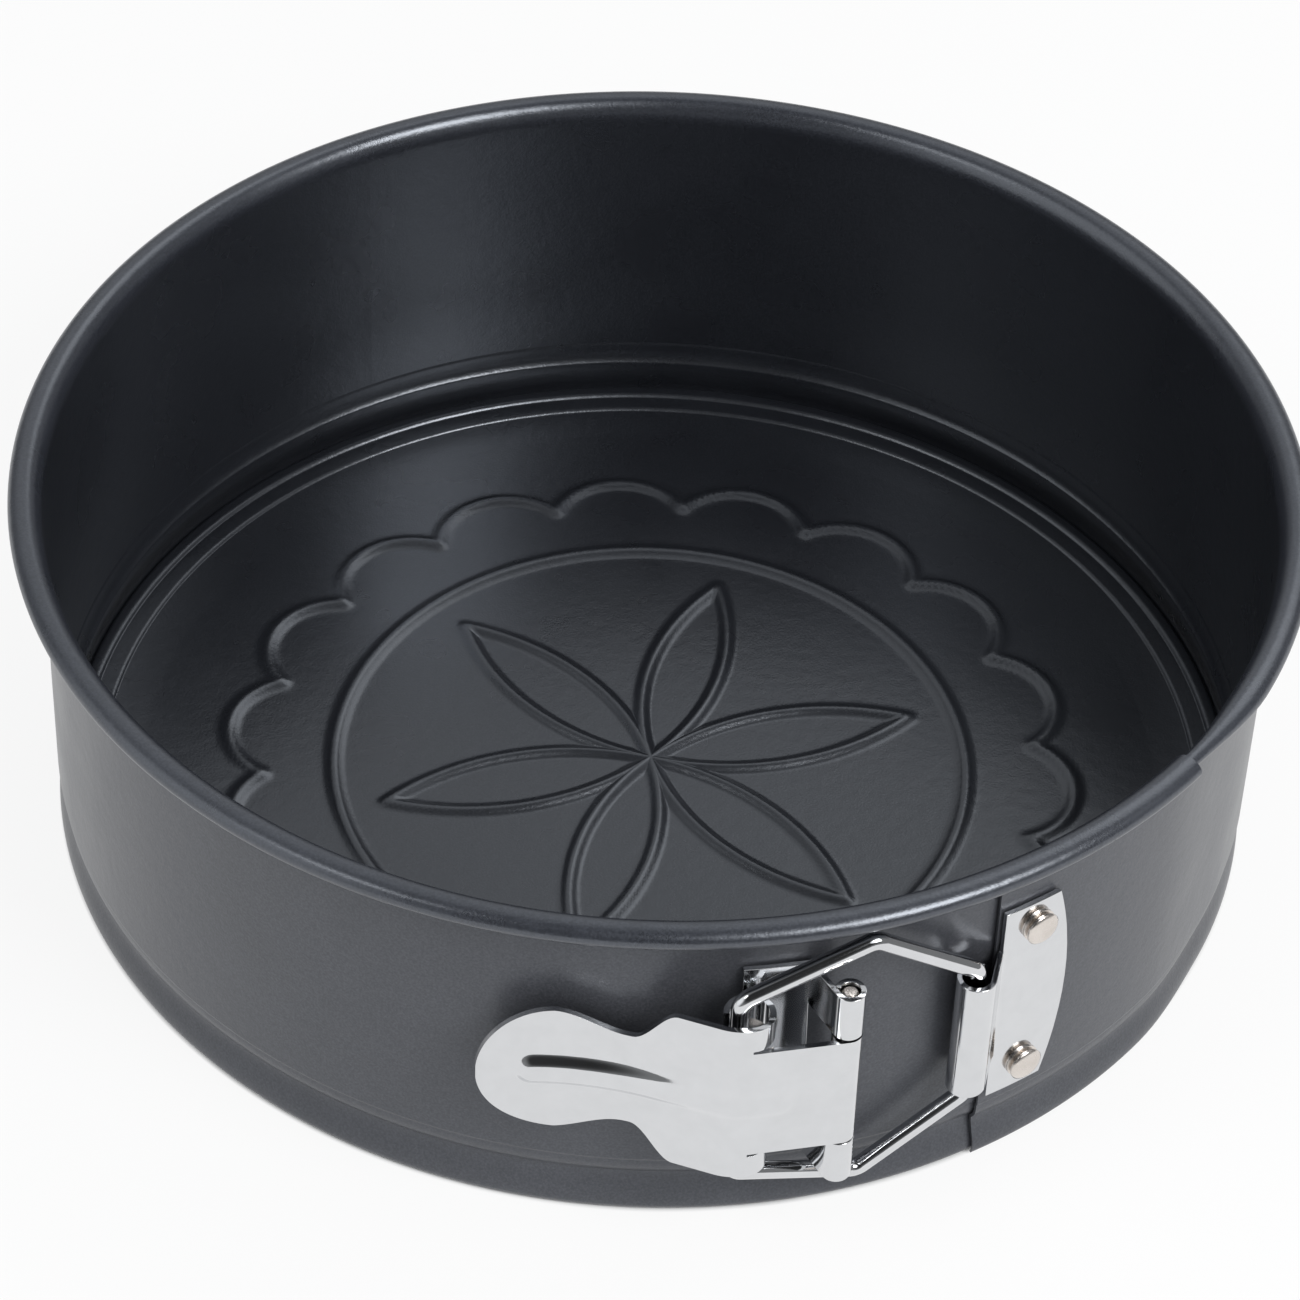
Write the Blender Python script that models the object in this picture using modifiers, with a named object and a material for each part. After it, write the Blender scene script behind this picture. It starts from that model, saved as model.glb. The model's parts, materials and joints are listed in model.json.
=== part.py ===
"""A springform pan: a sprung steel band with a lever latch, closed round a loose base plate.

Units are metres and +Z is up. The origin is on the pan's axis at the table, and the latch's hinge pin faces the
front, -Y. Angles round the axis are in degrees from the front towards +X, and an arc is a length along the wall
from the front, also towards +X.
"""

import math

import bmesh
import bpy
from mathutils import Matrix, Vector

# Overall sizes of the band
HEIGHT = 0.066
WALL_OUTER_RADIUS = 0.100
BAND_SHEET = 0.00045
SEGMENT_ANGLE = 5.0

# The rolled rim, to the middle of the sheet, and the gaps of the right half's smaller roll inside it
ROLL_HALF_WIDTH = 0.0025
ROLL_HALF_HEIGHT = 0.0017
ROLL_END_ANGLE = -100.0
ROLL_STEPS = 8
SWAGE_OUT_GAP = 0.00125
SWAGE_UP_GAP = 0.00035

# The foot: a crease, under it a groove pressed inwards over the base plate's edge, then a shallow bulge
GROOVE_Z = 0.0078
GROOVE_DEPTH = 0.0012
GROOVE_STEPS = 4
CREASE_RISE = 0.0042
BULGE_Z = 0.0020
BULGE = 0.0001
FOOT_TURN = 0.0003
FOOT_CLEARANCE = 0.0003

# Where the strip ends, and where its flex is gathered
SEAM_ARC = 0.02635
LAP_LENGTH = 0.0365
LAP_GAP = 0.00045
LAP_BLEND = 0.0279
FLEX_ANGLE = 196.0
FLEX_SLIT = 0.0004

# Base plate: its edge, a step down to a ring, a second step, and a gentle fall to the floor
BASE_SHEET = 0.0007
BASE_EDGE_CLEARANCE = 0.0004
BASE_EDGE_WIDTH = 0.0016
BASE_EDGE_RISE = 0.00125
BASE_STEP_WIDTH = 0.0010
BASE_RING_RISE = 0.0007
BASE_RING_WIDTH = 0.0024
BASE_FALL_RISE = 0.00025
BASE_FALL_WIDTH = 0.0066
BASE_SEGMENTS = 72

# Latch sheet, hinge pin and running gaps; the pin stands off the wall at the front
LATCH_SHEET = 0.0009
SEAT_GAP = 0.0003
ARC_STEPS = 5
PIN_STANDOFF = 0.0075
PIN_RADIUS = 0.0013
PIN_OVERHANG = 0.0002
RUNNING_GAP = 0.0002
TUBE_SEGMENTS = 24
CUT_REACH = 0.03

# Bail: a closed hexagon of wire, whose corners lie between the rolled rim and the table
WIRE_RADIUS = 0.0014
BAIL_RIM_GAP = 0.0007
BAIL_TABLE_GAP = 0.0082
BAIL_CORNER_SHARE = 0.55
BAIL_LOOP_MARGIN = 0.0027
BAIL_EYE_MARGIN = 0.0016
BAIL_BEND_RADIUS = 0.0026
BAIL_BEND_STEPS = 3

# Lever: tongue, bend, shank and curved thumb in plan, each heading inwards at its angle
LEVER_SHEET = 0.0010
LEG_STANDOFF = 0.0062
LEG_AXIS_X = -0.0160
LOOP_PLAY = 0.00157
LOOP_SLACK = 0.00015
LOOP_SHEET = 0.0008
LOOP_FOOT_GAP = 0.0005
EYE_HALF_HEIGHT = 0.0111
EAR_HALF_HEIGHT = 0.0160
BEND_LENGTH = 0.005
SHANK_LENGTH = 0.0105
SHANK_HEADING = 34.0
THUMB_LENGTH = 0.0265
THUMB_HEADING = 4.0
PLATE_STEP = 0.002
SHOULDER_LENGTH = 0.0095
WAIST_HALF_HEIGHT = 0.0094
WAIST_TO_LOBE = 0.0095
LOBE_RADIUS = 0.0127
LOBE_STEPS = 8
SHOULDER_STEPS = 6
RIB_HALF_HEIGHT = 0.0036
RIB_RISE = 0.0008
RIB_START = 0.007
RIB_END_INSET = 0.0075
RIB_END_STEPS = 4

# Hinge bracket, whose knuckles end below the bail's upper corners
BRACKET_ARC = -0.0141
FLANGE_END_ARC = -0.0039
BRACKET_BAIL_DROP = 0.0052
NOTCH_GAP = 0.0004

# Keeper plate: it starts just past the seam, and its eye reaches back over it
KEEPER_SEAM_INSET = 0.0005
KEEPER_EYE_STANDOFF = 0.0044
KEEPER_EYE_REACH = 0.00573
KEEPER_EYE_PLAY = 0.000775
KEEPER_EYE_HALF_HEIGHT = 0.0118
KEEPER_WIDTH = 0.0100
KEEPER_BULGE = 0.0030
KEEPER_HALF_HEIGHT = 0.0200
KEEPER_EDGE_STEPS = 8

# Rivets
BRACKET_RIVET_INSET = 0.0050
BRACKET_RIVET_HEIGHT = 0.0043
BRACKET_RIVET_DROP = 0.0048
KEEPER_RIVET_INSET = 0.0061
KEEPER_RIVET_EDGE = 0.0050
RIVET_SHANK_RADIUS = 0.0016
RIVET_GAP = 0.0001
RIVET_HOLE_REACH = 0.004
KEEPER_HEAD_RADIUS = 0.00285
KEEPER_HEAD_HEIGHT = 0.0017
BRACKET_HEAD_RADIUS = 0.0025
BRACKET_HEAD_HEIGHT = 0.0008
HEAD_EDGE = 0.0004
RIVET_SEGMENTS = 20

MERGE_DISTANCE = 0.00005
SMOOTH_ANGLE = 35.0

# Values worked out from those above
WALL_MID = WALL_OUTER_RADIUS - BAND_SHEET / 2
LAP_STEP = BAND_SHEET + LAP_GAP
LAP_OUTER_RADIUS = WALL_OUTER_RADIUS + LAP_STEP
SWAGED_HALF_WIDTH = ROLL_HALF_WIDTH - (LAP_STEP + BAND_SHEET + SWAGE_OUT_GAP) / 2
SWAGED_HALF_HEIGHT = ROLL_HALF_HEIGHT - BAND_SHEET - SWAGE_UP_GAP
BASE_RADIUS = WALL_MID - FOOT_TURN - BAND_SHEET / 2 - BASE_EDGE_CLEARANCE
LOOP_BORE = WIRE_RADIUS + LOOP_PLAY + LOOP_SLACK
LOOP_RADIUS = LOOP_BORE + LOOP_SHEET
PIN_BORE = PIN_RADIUS + RUNNING_GAP
KNUCKLE_RADIUS = PIN_BORE + LATCH_SHEET
KEEPER_BORE = WIRE_RADIUS + KEEPER_EYE_PLAY
KEEPER_EYE_RADIUS = KEEPER_BORE + LATCH_SHEET
BAIL_TOP = HEIGHT - BAND_SHEET - 2 * ROLL_HALF_HEIGHT - BAIL_RIM_GAP
LATCH_Z = (BAIL_TOP + BAIL_TABLE_GAP) / 2
BAIL_CORNER_HALF = (BAIL_TOP - BAIL_TABLE_GAP) / 2 - WIRE_RADIUS
BRACKET_HALF_HEIGHT = BAIL_CORNER_HALF - BRACKET_BAIL_DROP
BAIL_LEFT_HALF = EAR_HALF_HEIGHT + BAIL_LOOP_MARGIN
BAIL_RIGHT_HALF = KEEPER_EYE_HALF_HEIGHT + BAIL_EYE_MARGIN
KEEPER_END_ARC = SEAM_ARC + KEEPER_SEAM_INSET
LAP_END_ARC = SEAM_ARC + LAP_LENGTH


def polar(radius, degrees, z=0.0):
    angle = math.radians(degrees)
    return Vector((radius * math.sin(angle), -radius * math.cos(angle), z))


def arc_angle(arc):
    return math.degrees(arc / WALL_OUTER_RADIUS)


def smooth_step(value, low, high):
    share = min(max((value - low) / (high - low), 0.0), 1.0)
    return share * share * (3 - 2 * share)


LEG_RADIUS = WALL_OUTER_RADIUS + LEG_STANDOFF
PIN_AXIS = polar(WALL_OUTER_RADIUS + PIN_STANDOFF, 0.0, LATCH_Z)
LEG_AXIS = Vector((LEG_AXIS_X, -math.sqrt(LEG_RADIUS**2 - LEG_AXIS_X**2), LATCH_Z))
LOOP_AXIS = LEG_AXIS + Vector((LOOP_PLAY, 0.0, 0.0))
KEEPER_EYE_ANGLE = arc_angle(KEEPER_END_ARC - KEEPER_EYE_REACH)
KEEPER_AXIS = polar(WALL_OUTER_RADIUS + KEEPER_EYE_STANDOFF, KEEPER_EYE_ANGLE, LATCH_Z)
FLEX_AXIS = polar(WALL_MID, FLEX_ANGLE)


def clear_scene():
    for item in list(bpy.data.objects):
        bpy.data.objects.remove(item)


def make_collection(name):
    collection = bpy.data.collections.new(name)
    bpy.context.scene.collection.children.link(collection)
    return collection


def make_material(name, colour, metallic, roughness):
    material = bpy.data.materials.new(name)
    material.use_nodes = True
    shader = material.node_tree.nodes["Principled BSDF"]
    shader.inputs["Base Color"].default_value = (*colour, 1.0)
    shader.inputs["Metallic"].default_value = metallic
    shader.inputs["Roughness"].default_value = roughness
    return material


clear_scene()
PARTS = make_collection("springform_pan")
CUTTERS = make_collection("cutters")
COATING = make_material("dark_coating", (0.075, 0.078, 0.085), 0.3, 0.42)
PLATING = make_material("bright_plating", (0.78, 0.79, 0.80), 1.0, 0.16)
RIVET_PLATING = make_material("warm_plating", (0.74, 0.71, 0.67), 1.0, 0.22)


def add_part(name, mesh, material, origin=(0.0, 0.0, 0.0)):
    """A mesh in world places becomes a part whose origin is at the given point."""
    mesh.transform(Matrix.Translation(-Vector(origin)))
    mesh.materials.clear()
    mesh.materials.append(material)
    mesh.shade_smooth()
    mesh.set_sharp_from_angle(angle=math.radians(SMOOTH_ANGLE))
    part = bpy.data.objects.new(name, mesh)
    part.location = origin
    PARTS.objects.link(part)
    return part


def add_boolean(part, operation, mesh):
    """Joins, cuts or trims the part by a mesh in world places, which stays as a hidden helper."""
    cutter = bpy.data.objects.new(mesh.name, mesh)
    cutter.hide_render = True
    cutter.display_type = "WIRE"
    CUTTERS.objects.link(cutter)
    boolean = part.modifiers.new(mesh.name, "BOOLEAN")
    boolean.operation = operation
    boolean.object = cutter
    return cutter


def add_sheet(part, thickness):
    solidify = part.modifiers.new("sheet", "SOLIDIFY")
    solidify.thickness = thickness
    solidify.offset = 0.0
    solidify.use_even_offset = True


def add_turned_part(name, profile, material, segments):
    """A part turned round its own Z from a profile of (radius, height)."""
    mesh = bpy.data.meshes.new(name)
    edges = [(i, i + 1) for i in range(len(profile) - 1)]
    mesh.from_pydata([(r, 0.0, z) for r, z in profile], edges, [])
    part = add_part(name, mesh, material)
    turn = part.modifiers.new("turn", "SCREW")
    turn.steps = segments
    turn.render_steps = segments
    turn.use_merge_vertices = True
    turn.merge_threshold = MERGE_DISTANCE
    return part


def cylinder(name, radius, low, high, matrix, segments=TUBE_SEGMENTS):
    """A closed cylinder along the matrix's Z, between two heights on it."""
    mesh = bpy.data.meshes.new(name)
    shape = bmesh.new()
    bmesh.ops.create_cone(
        shape,
        cap_ends=True,
        segments=segments,
        radius1=radius,
        radius2=radius,
        depth=high - low,
        matrix=matrix @ Matrix.Translation((0.0, 0.0, (low + high) / 2)),
    )
    shape.to_mesh(mesh)
    shape.free()
    return mesh


def upright_cylinder(name, axis, radius, low, high):
    """A cylinder on an upright axis, with heights from the latch's middle."""
    return cylinder(name, radius, low, high, Matrix.Translation(axis))


def radial(degrees, z):
    """A matrix on the pan's axis whose Z points straight out at this angle and height."""
    outwards = polar(1.0, degrees)
    return Matrix.Translation((0.0, 0.0, z)) @ outwards.to_track_quat("Z", "Y").to_matrix().to_4x4()


def mesh_of_curve(name, curve, matrix):
    """The closed mesh of a curve, in world places."""
    holder = bpy.data.objects.new(name, curve)
    bpy.context.scene.collection.objects.link(holder)
    graph = bpy.context.evaluated_depsgraph_get()
    mesh = bpy.data.meshes.new_from_object(holder.evaluated_get(graph))
    bpy.data.objects.remove(holder)
    shape = bmesh.new()
    shape.from_mesh(mesh)
    bmesh.ops.remove_doubles(shape, verts=shape.verts, dist=1e-7)
    bmesh.ops.recalc_face_normals(shape, faces=shape.faces)
    shape.to_mesh(mesh)
    shape.free()
    mesh.transform(matrix)
    mesh.name = name
    return mesh


def flat_prism(name, outline, half_depth, matrix):
    """A closed outline in the matrix's XY plane, as thick as twice half_depth along its Z."""
    curve = bpy.data.curves.new(name, "CURVE")
    curve.dimensions = "2D"
    curve.fill_mode = "BOTH"
    curve.extrude = half_depth
    spline = curve.splines.new("POLY")
    spline.points.add(len(outline) - 1)
    for point, (x, y) in zip(spline.points, outline):
        point.co = (x, y, 0.0, 1.0)
    spline.use_cyclic_u = True
    return mesh_of_curve(name, curve, matrix)


def plan_prism(name, outline, half_height):
    """A prism of a plan outline, as high as twice half_height about the latch's middle."""
    return flat_prism(name, outline, half_height, Matrix.Translation((0.0, 0.0, LATCH_Z)))


def front_prism(name, outline):
    """A deep prism of an outline seen from the front, as (x, height from the latch's middle)."""
    place = Matrix.Translation((0.0, -WALL_OUTER_RADIUS, LATCH_Z))
    return flat_prism(name, outline, CUT_REACH, place @ Matrix.Rotation(math.pi / 2, 4, "X"))


def strip(points, right, left):
    """The outline of a bent sheet along plan points, between two offsets to the left of the way."""
    sides = ([], [])
    for i, point in enumerate(points):
        before = points[max(i - 1, 0)]
        after = points[min(i + 1, len(points) - 1)]
        way = (after - before).normalized()
        across = Vector((-way.y, way.x))
        for side, offset in zip(sides, (right, left)):
            side.append(point + across * offset)
    return sides[0] + sides[1][::-1]


def sheet_along(points):
    return strip(points, -LATCH_SHEET / 2, LATCH_SHEET / 2)


def wall_arc(radius, first, last):
    """Plan points round the axis between two arcs."""
    arcs = [first + (last - first) * i / ARC_STEPS for i in range(ARC_STEPS + 1)]
    return [polar(radius, arc_angle(arc)).xy for arc in arcs]


def tangent_point(start, centre, radius, side):
    """Where a line from start touches a circle; side 1 is the circle's left along the way, -1 its right."""
    way = centre.xy - start
    back = -way.normalized()
    back.rotate(Matrix.Rotation(-side * math.acos(radius / way.length), 2))
    return centre.xy + back * radius


def band_section(lap_step, half_width, half_height):
    """Points (radius, height) on the middle of the sheet, from the roll's free edge down to the foot."""
    middle = WALL_MID + lap_step
    roll_z = HEIGHT - BAND_SHEET / 2 - ROLL_HALF_HEIGHT
    section = []
    for i in range(ROLL_STEPS + 1):
        angle = math.radians(ROLL_END_ANGLE + (180.0 - ROLL_END_ANGLE) * i / ROLL_STEPS)
        radius = middle + half_width * (1 + math.cos(angle))
        section.append((radius, roll_z + half_height * math.sin(angle)))
    section.append((middle, GROOVE_Z + CREASE_RISE))
    for i in range(GROOVE_STEPS + 1):
        share = (1 - math.cos(math.pi * i / GROOVE_STEPS)) / 2
        z = GROOVE_Z + (BULGE_Z - GROOVE_Z) * i / GROOVE_STEPS
        section.append((middle - GROOVE_DEPTH + (GROOVE_DEPTH + BULGE) * share, z))
    foot_z = FOOT_CLEARANCE + BAND_SHEET / 2
    section.append((middle, (BULGE_Z + foot_z) / 2))
    section.append((middle - FOOT_TURN, foot_z))
    return section


def left_section(_angle):
    return band_section(0.0, ROLL_HALF_WIDTH, ROLL_HALF_HEIGHT)


def right_section(angle):
    """Outside the left half at the lap, and on the same circle as it a little further round."""
    full = smooth_step(angle, arc_angle(LAP_END_ARC), arc_angle(LAP_END_ARC + LAP_BLEND))
    half_width = SWAGED_HALF_WIDTH + (ROLL_HALF_WIDTH - SWAGED_HALF_WIDTH) * full
    half_height = SWAGED_HALF_HEIGHT + (ROLL_HALF_HEIGHT - SWAGED_HALF_HEIGHT) * full
    return band_section(LAP_STEP * (1 - full), half_width, half_height)


def make_band_half(name, start, end, section_at, origin):
    """A sheet lofted round the axis between two angles, with its thickness from Solidify."""
    count = math.ceil((end - start) / SEGMENT_ANGLE)
    shape = bmesh.new()
    columns = []
    for i in range(count + 1):
        angle = start + (end - start) * i / count
        columns.append([shape.verts.new(polar(r, angle, z)) for r, z in section_at(angle)])
    for here, after in zip(columns, columns[1:]):
        for k in range(len(here) - 1):
            shape.faces.new((here[k], here[k + 1], after[k + 1], after[k]))
    mesh = bpy.data.meshes.new(name)
    shape.to_mesh(mesh)
    shape.free()
    part = add_part(name, mesh, COATING, origin)
    add_sheet(part, BAND_SHEET)
    return part


def make_band():
    half_slit = math.degrees(FLEX_SLIT / 2 / WALL_MID)
    left_start = FLEX_ANGLE - 360.0 + half_slit
    left = make_band_half("band_left", left_start, arc_angle(LAP_END_ARC), left_section, (0.0, 0.0, 0.0))
    right_end = FLEX_ANGLE - half_slit
    right = make_band_half("band_right", arc_angle(SEAM_ARC), right_end, right_section, FLEX_AXIS)
    return left, right


def make_base_plate():
    floor_z = BASE_SHEET / 2
    step_out = BASE_RADIUS - BASE_EDGE_WIDTH
    ring_out = step_out - BASE_STEP_WIDTH
    ring_in = ring_out - BASE_RING_WIDTH
    fall_out = ring_in - BASE_STEP_WIDTH
    profile = [
        (BASE_RADIUS, floor_z + BASE_EDGE_RISE),
        (step_out, floor_z + BASE_EDGE_RISE),
        (ring_out, floor_z + BASE_RING_RISE),
        (ring_in, floor_z + BASE_RING_RISE),
        (fall_out, floor_z + BASE_FALL_RISE),
        (fall_out - BASE_FALL_WIDTH, floor_z),
        (0.0, floor_z),
    ]
    add_sheet(add_turned_part("base_plate", profile, COATING, BASE_SEGMENTS), BASE_SHEET)


def tongue_heading():
    """Heading inwards of the lever's front, which touches both the eye and the loops."""
    way = LOOP_AXIS - PIN_AXIS
    return math.atan2(way.y, -way.x) - math.asin((LOOP_RADIUS - KNUCKLE_RADIUS) / way.xy.length)


def plate_runs():
    """Length, first heading and last heading of each run of the lever's plate, from the eye to the thumb."""
    tongue = tongue_heading()
    shank = math.radians(SHANK_HEADING)
    thumb = math.radians(THUMB_HEADING)
    return (
        ((LOOP_AXIS - PIN_AXIS).xy.length, tongue, tongue),
        (BEND_LENGTH, tongue, shank),
        (SHANK_LENGTH, shank, shank),
        (THUMB_LENGTH, shank, thumb),
    )


def plate_length():
    return sum(run[0] for run in plate_runs())


def plate_point(distance):
    """Plan point on the plate's front, at a distance from the eye along it."""
    first = tongue_heading()
    point = PIN_AXIS.xy + Vector((-math.sin(first), -math.cos(first))) * KNUCKLE_RADIUS
    for length, heading, end_heading in plate_runs():
        here = min(distance, length)
        steps = max(1, math.ceil(here / PLATE_STEP))
        for i in range(steps):
            angle = heading + (end_heading - heading) * (i + 0.5) / steps * here / length
            point = point + Vector((-math.cos(angle), math.sin(angle))) * here / steps
        distance -= here
    return point


def mirrored_outline(half):
    """A closed front outline, from its upper half as (distance along the plate, height)."""
    whole = half + [(distance, -z) for distance, z in half[::-1] if z > MERGE_DISTANCE]
    return [(plate_point(distance).x, z) for distance, z in whole]


def lever_outline():
    """Upper half of the plate's outline: tongue, ear, waist and lobe."""
    ear = (LOOP_AXIS - PIN_AXIS).xy.length
    shoulder = ear + SHOULDER_LENGTH
    lobe = plate_length() - LOBE_RADIUS
    waist = lobe - WAIST_TO_LOBE
    half = [(0.0, EYE_HALF_HEIGHT), (ear, EYE_HALF_HEIGHT), (ear, EAR_HALF_HEIGHT)]
    for start, end, start_z, end_z in (
        (shoulder, waist, EAR_HALF_HEIGHT, WAIST_HALF_HEIGHT),
        (waist, lobe, WAIST_HALF_HEIGHT, LOBE_RADIUS),
    ):
        for i in range(SHOULDER_STEPS):
            rise = smooth_step(i / SHOULDER_STEPS, 0.0, 1.0)
            half.append((start + (end - start) * i / SHOULDER_STEPS, start_z + (end_z - start_z) * rise))
    for i in range(LOBE_STEPS + 1):
        angle = math.pi / 2 * i / LOBE_STEPS
        half.append((lobe + LOBE_RADIUS * math.sin(angle), LOBE_RADIUS * math.cos(angle)))
    return mirrored_outline(half)


def rib_outline():
    start = RIB_START + RIB_HALF_HEIGHT
    end = plate_length() - RIB_END_INSET - RIB_HALF_HEIGHT
    half = []
    for centre, first in ((start, math.pi), (end, math.pi / 2)):
        for i in range(RIB_END_STEPS + 1):
            angle = first - math.pi / 2 * i / RIB_END_STEPS
            half.append((centre + RIB_HALF_HEIGHT * math.cos(angle), RIB_HALF_HEIGHT * math.sin(angle)))
    return mirrored_outline(half)


def make_lever():
    count = math.ceil(plate_length() / PLATE_STEP)
    way = [plate_point(plate_length() * i / count) for i in range(count + 1)]
    # the sheet runs on a little, so that the outline alone shapes the thumb's end
    way.append(way[-1] * 2 - way[-2])
    blank = plan_prism("lever", strip(way, -LEVER_SHEET, 0.0), BAIL_LEFT_HALF)
    lever = add_part("lever", blank, PLATING, PIN_AXIS)
    add_boolean(lever, "INTERSECT", front_prism("lever_outline", lever_outline()))
    rib_blank = plan_prism("lever_rib", strip(way, -LEVER_SHEET / 2, RIB_RISE), BAIL_LEFT_HALF)
    rib = add_boolean(lever, "UNION", rib_blank)
    add_boolean(rib, "INTERSECT", front_prism("rib_outline", rib_outline()))
    eye = upright_cylinder("lever_eye", PIN_AXIS, KNUCKLE_RADIUS, -EYE_HALF_HEIGHT, EYE_HALF_HEIGHT)
    add_boolean(lever, "UNION", eye)
    foot = EYE_HALF_HEIGHT + LOOP_FOOT_GAP
    spare = LOOP_FOOT_GAP / 2
    for name, low, high in (("upper", foot, EAR_HALF_HEIGHT), ("lower", -EAR_HALF_HEIGHT, -foot)):
        loop = upright_cylinder(f"{name}_loop", LOOP_AXIS, LOOP_RADIUS, low, high)
        add_boolean(lever, "UNION", loop)
        bore = upright_cylinder(f"{name}_loop_bore", LOOP_AXIS, LOOP_BORE, low - spare, high + spare)
        add_boolean(lever, "DIFFERENCE", bore)
    bore = upright_cylinder("lever_eye_bore", PIN_AXIS, PIN_BORE, -CUT_REACH, CUT_REACH)
    add_boolean(lever, "DIFFERENCE", bore)


def make_hinge_bracket():
    sheet_mid = WALL_OUTER_RADIUS + SEAT_GAP + LATCH_SHEET / 2
    way = wall_arc(sheet_mid, BRACKET_ARC, FLANGE_END_ARC)
    flange_end = way[-1]
    way.append(tangent_point(flange_end, PIN_AXIS, KNUCKLE_RADIUS - LATCH_SHEET / 2, -1))
    high = BRACKET_HALF_HEIGHT
    bracket = add_part("hinge_bracket", plan_prism("hinge_bracket", sheet_along(way), high), PLATING)
    add_boolean(bracket, "UNION", upright_cylinder("bracket_knuckle", PIN_AXIS, KNUCKLE_RADIUS, -high, high))
    # the notch lets the lever's eye in between the two knuckles
    notch_half = EYE_HALF_HEIGHT + NOTCH_GAP
    sides = (flange_end.x + LATCH_SHEET, CUT_REACH)
    notch = [(x, z) for x, z in zip(sides + sides[::-1], (notch_half, notch_half, -notch_half, -notch_half))]
    add_boolean(bracket, "DIFFERENCE", front_prism("bracket_notch", notch))
    bore = upright_cylinder("bracket_bore", PIN_AXIS, PIN_BORE, -CUT_REACH, CUT_REACH)
    add_boolean(bracket, "DIFFERENCE", bore)
    return bracket


def make_hinge_pin():
    reach = BRACKET_HALF_HEIGHT + PIN_OVERHANG
    pin = upright_cylinder("hinge_pin", PIN_AXIS, PIN_RADIUS, -reach, reach)
    add_part("hinge_pin", pin, RIVET_PLATING, PIN_AXIS)


def make_keeper_plate():
    sheet_mid = LAP_OUTER_RADIUS + SEAT_GAP + LATCH_SHEET / 2
    way = wall_arc(sheet_mid, KEEPER_END_ARC + KEEPER_WIDTH + KEEPER_BULGE, KEEPER_END_ARC)
    end = way[-1]
    way.append(tangent_point(end, KEEPER_AXIS, KEEPER_EYE_RADIUS - LATCH_SHEET / 2, 1))
    blank = plan_prism("keeper_plate", sheet_along(way), KEEPER_HALF_HEIGHT)
    keeper = add_part("keeper_plate", blank, PLATING, KEEPER_AXIS)
    corner = polar(sheet_mid, arc_angle(KEEPER_END_ARC + KEEPER_WIDTH))
    outline = [(end.x, KEEPER_HALF_HEIGHT)]
    for i in range(KEEPER_EDGE_STEPS + 1):
        share = 1 - 2 * i / KEEPER_EDGE_STEPS
        outline.append((corner.x + KEEPER_BULGE * (1 - share * share), KEEPER_HALF_HEIGHT * share))
    outline.append((end.x, -KEEPER_HALF_HEIGHT))
    eye_left = KEEPER_AXIS.x - KEEPER_EYE_RADIUS
    for x, side in ((end.x, -1), (eye_left, -1), (eye_left, 1), (end.x, 1)):
        outline.append((x, side * KEEPER_EYE_HALF_HEIGHT))
    add_boolean(keeper, "INTERSECT", front_prism("keeper_outline", outline))
    high = KEEPER_EYE_HALF_HEIGHT
    add_boolean(keeper, "UNION", upright_cylinder("keeper_eye", KEEPER_AXIS, KEEPER_EYE_RADIUS, -high, high))
    bore = upright_cylinder("keeper_bore", KEEPER_AXIS, KEEPER_BORE, -CUT_REACH, CUT_REACH)
    add_boolean(keeper, "DIFFERENCE", bore)
    return keeper


def make_rivet(name, arc, offset, wall_radius, head_radius, head_height, holed):
    """A rivet through a latch sheet and the wall, flush inside, with its hole cut in both."""
    inner = wall_radius - BAND_SHEET
    seat = wall_radius + SEAT_GAP + LATCH_SHEET + RIVET_GAP
    profile = [
        (0.0, seat + head_height),
        (head_radius - HEAD_EDGE, seat + head_height),
        (head_radius, seat + head_height - HEAD_EDGE),
        (head_radius, seat),
        (RIVET_SHANK_RADIUS, seat),
        (RIVET_SHANK_RADIUS, inner),
        (0.0, inner),
    ]
    place = radial(arc_angle(arc), LATCH_Z + offset)
    rivet = add_turned_part(name, profile, RIVET_PLATING, RIVET_SEGMENTS)
    rivet.matrix_world = place
    hole_radius = RIVET_SHANK_RADIUS + RIVET_GAP
    for part in holed:
        low, high = inner - RIVET_HOLE_REACH, seat + RIVET_HOLE_REACH
        hole = cylinder(f"{name}_{part.name}_hole", hole_radius, low, high, place, RIVET_SEGMENTS)
        add_boolean(part, "DIFFERENCE", hole)


def rounded_corner(before, corner, after):
    """Points of an arc that rounds one corner of the bail."""
    come = (before - corner).normalized()
    go = (after - corner).normalized()
    half = come.angle(go) / 2
    centre = corner + (come + go).normalized() * BAIL_BEND_RADIUS / math.sin(half)
    reach = BAIL_BEND_RADIUS / math.tan(half)
    first = corner + come * reach - centre
    last = corner + go * reach - centre
    whole = first.angle(last)
    points = []
    for i in range(BAIL_BEND_STEPS + 1):
        share = i / BAIL_BEND_STEPS
        spoke = first * math.sin(whole * (1 - share)) + last * math.sin(whole * share)
        points.append(centre + spoke / math.sin(whole))
    return points


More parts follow.
